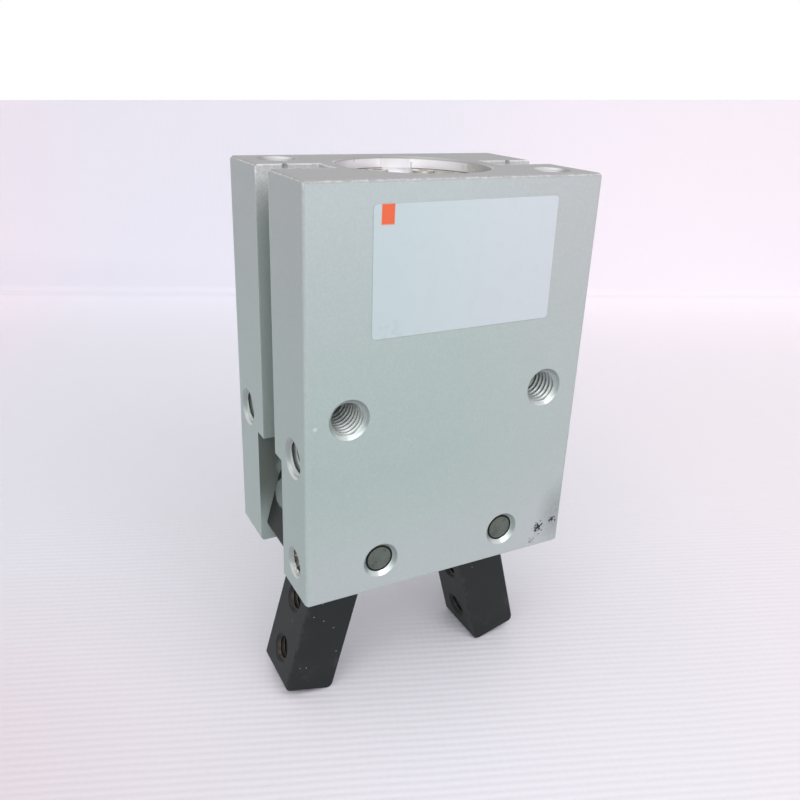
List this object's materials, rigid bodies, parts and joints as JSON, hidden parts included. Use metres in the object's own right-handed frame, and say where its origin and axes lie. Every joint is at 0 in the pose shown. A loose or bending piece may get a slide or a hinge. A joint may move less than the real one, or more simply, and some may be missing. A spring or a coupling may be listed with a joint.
{
  "type": "pneumatic angular gripper",
  "caption": "Compact air gripper: rectangular anodised block with a spring-return piston inside and black fingers that swing open and shut about cross pins.",
  "frame": {"origin": "centre of the top mounting face, on the cylinder's axis", "axes": "+Z out of the top mounting face along the cylinder, X along the wide faces, Y through the thickness with the front face at -Y"},
  "size_m": [0.042, 0.0276, 0.0794],
  "materials": {
    "anodised_block": "fine bead-blasted clear anodised aluminium",
    "turned_aluminium": "turned aluminium",
    "black_steel": "black oxide steel",
    "ground_steel": "ground steel",
    "dark_steel": "phosphated spring steel",
    "spring_steel": "drawn spring wire",
    "seal_rubber": "black nitrile rubber",
    "bumper_rubber": "amber urethane",
    "magnet": "bonded magnet",
    "plated_steel": "plated sheet steel",
    "sintered_bronze": "sintered bronze"
  },
  "bodies": {
    "housing": {"body_block": "anodised_block", "cylinder_cap": "turned_aluminium", "cap_o_ring": "seal_rubber", "retaining_ring": "dark_steel", "rod_seal": "seal_rubber", "rod_seal_cover": "plated_steel", "end_bumper": "bumper_rubber", "return_spring": "spring_steel", "pin_lock_screws": "dark_steel", "vent_filter": "sintered_bronze", "left_pivot_pin": "ground_steel", "right_pivot_pin": "ground_steel"},
    "piston_group": {"piston": "turned_aluminium", "piston_seal": "seal_rubber", "magnet_ring": "magnet", "piston_rod": "ground_steel", "piston_clip": "dark_steel", "centre_pin": "ground_steel"},
    "left_roller": {"left_side_roller": "ground_steel"},
    "right_roller": {"right_side_roller": "ground_steel"},
    "left_finger_group": {"left_finger": "black_steel", "left_needle_rollers": "ground_steel"},
    "right_finger_group": {"right_finger": "black_steel", "right_needle_rollers": "ground_steel"}
  },
  "joints": [
    {"name": "left_finger_swing", "type": "hinge", "parent": "housing", "child": "left_finger_group", "pos_m": [-0.01, 0, -0.05115], "axis": [0, -1, 0], "range_deg": [0, 20]},
    {"name": "right_finger_swing", "type": "hinge", "parent": "housing", "child": "right_finger_group", "pos_m": [0.01, 0, -0.05115], "axis": [0, 1, 0], "range_deg": [0, 20]},
    {"name": "piston_stroke", "type": "slide", "parent": "housing", "child": "piston_group", "axis": [0, 0, 1], "range_m": [0, 0.0034], "stiffness_N_per_m": 500, "springref_m": -0.0024, "deforming": ["return_spring"]},
    {"name": "left_roller_spin", "type": "hinge", "parent": "piston_group", "child": "left_roller", "pos_m": [0, 0, -0.04865], "axis": [0, 1, 0], "continuous": true},
    {"name": "right_roller_spin", "type": "hinge", "parent": "piston_group", "child": "right_roller", "pos_m": [0, 0, -0.04865], "axis": [0, 1, 0], "continuous": true}
  ],
  "couplings": [
    {"joint": "left_finger_swing", "follows": "piston_stroke", "rad_per_m": 102.75},
    {"joint": "right_finger_swing", "follows": "piston_stroke", "rad_per_m": 102.75}
  ]
}
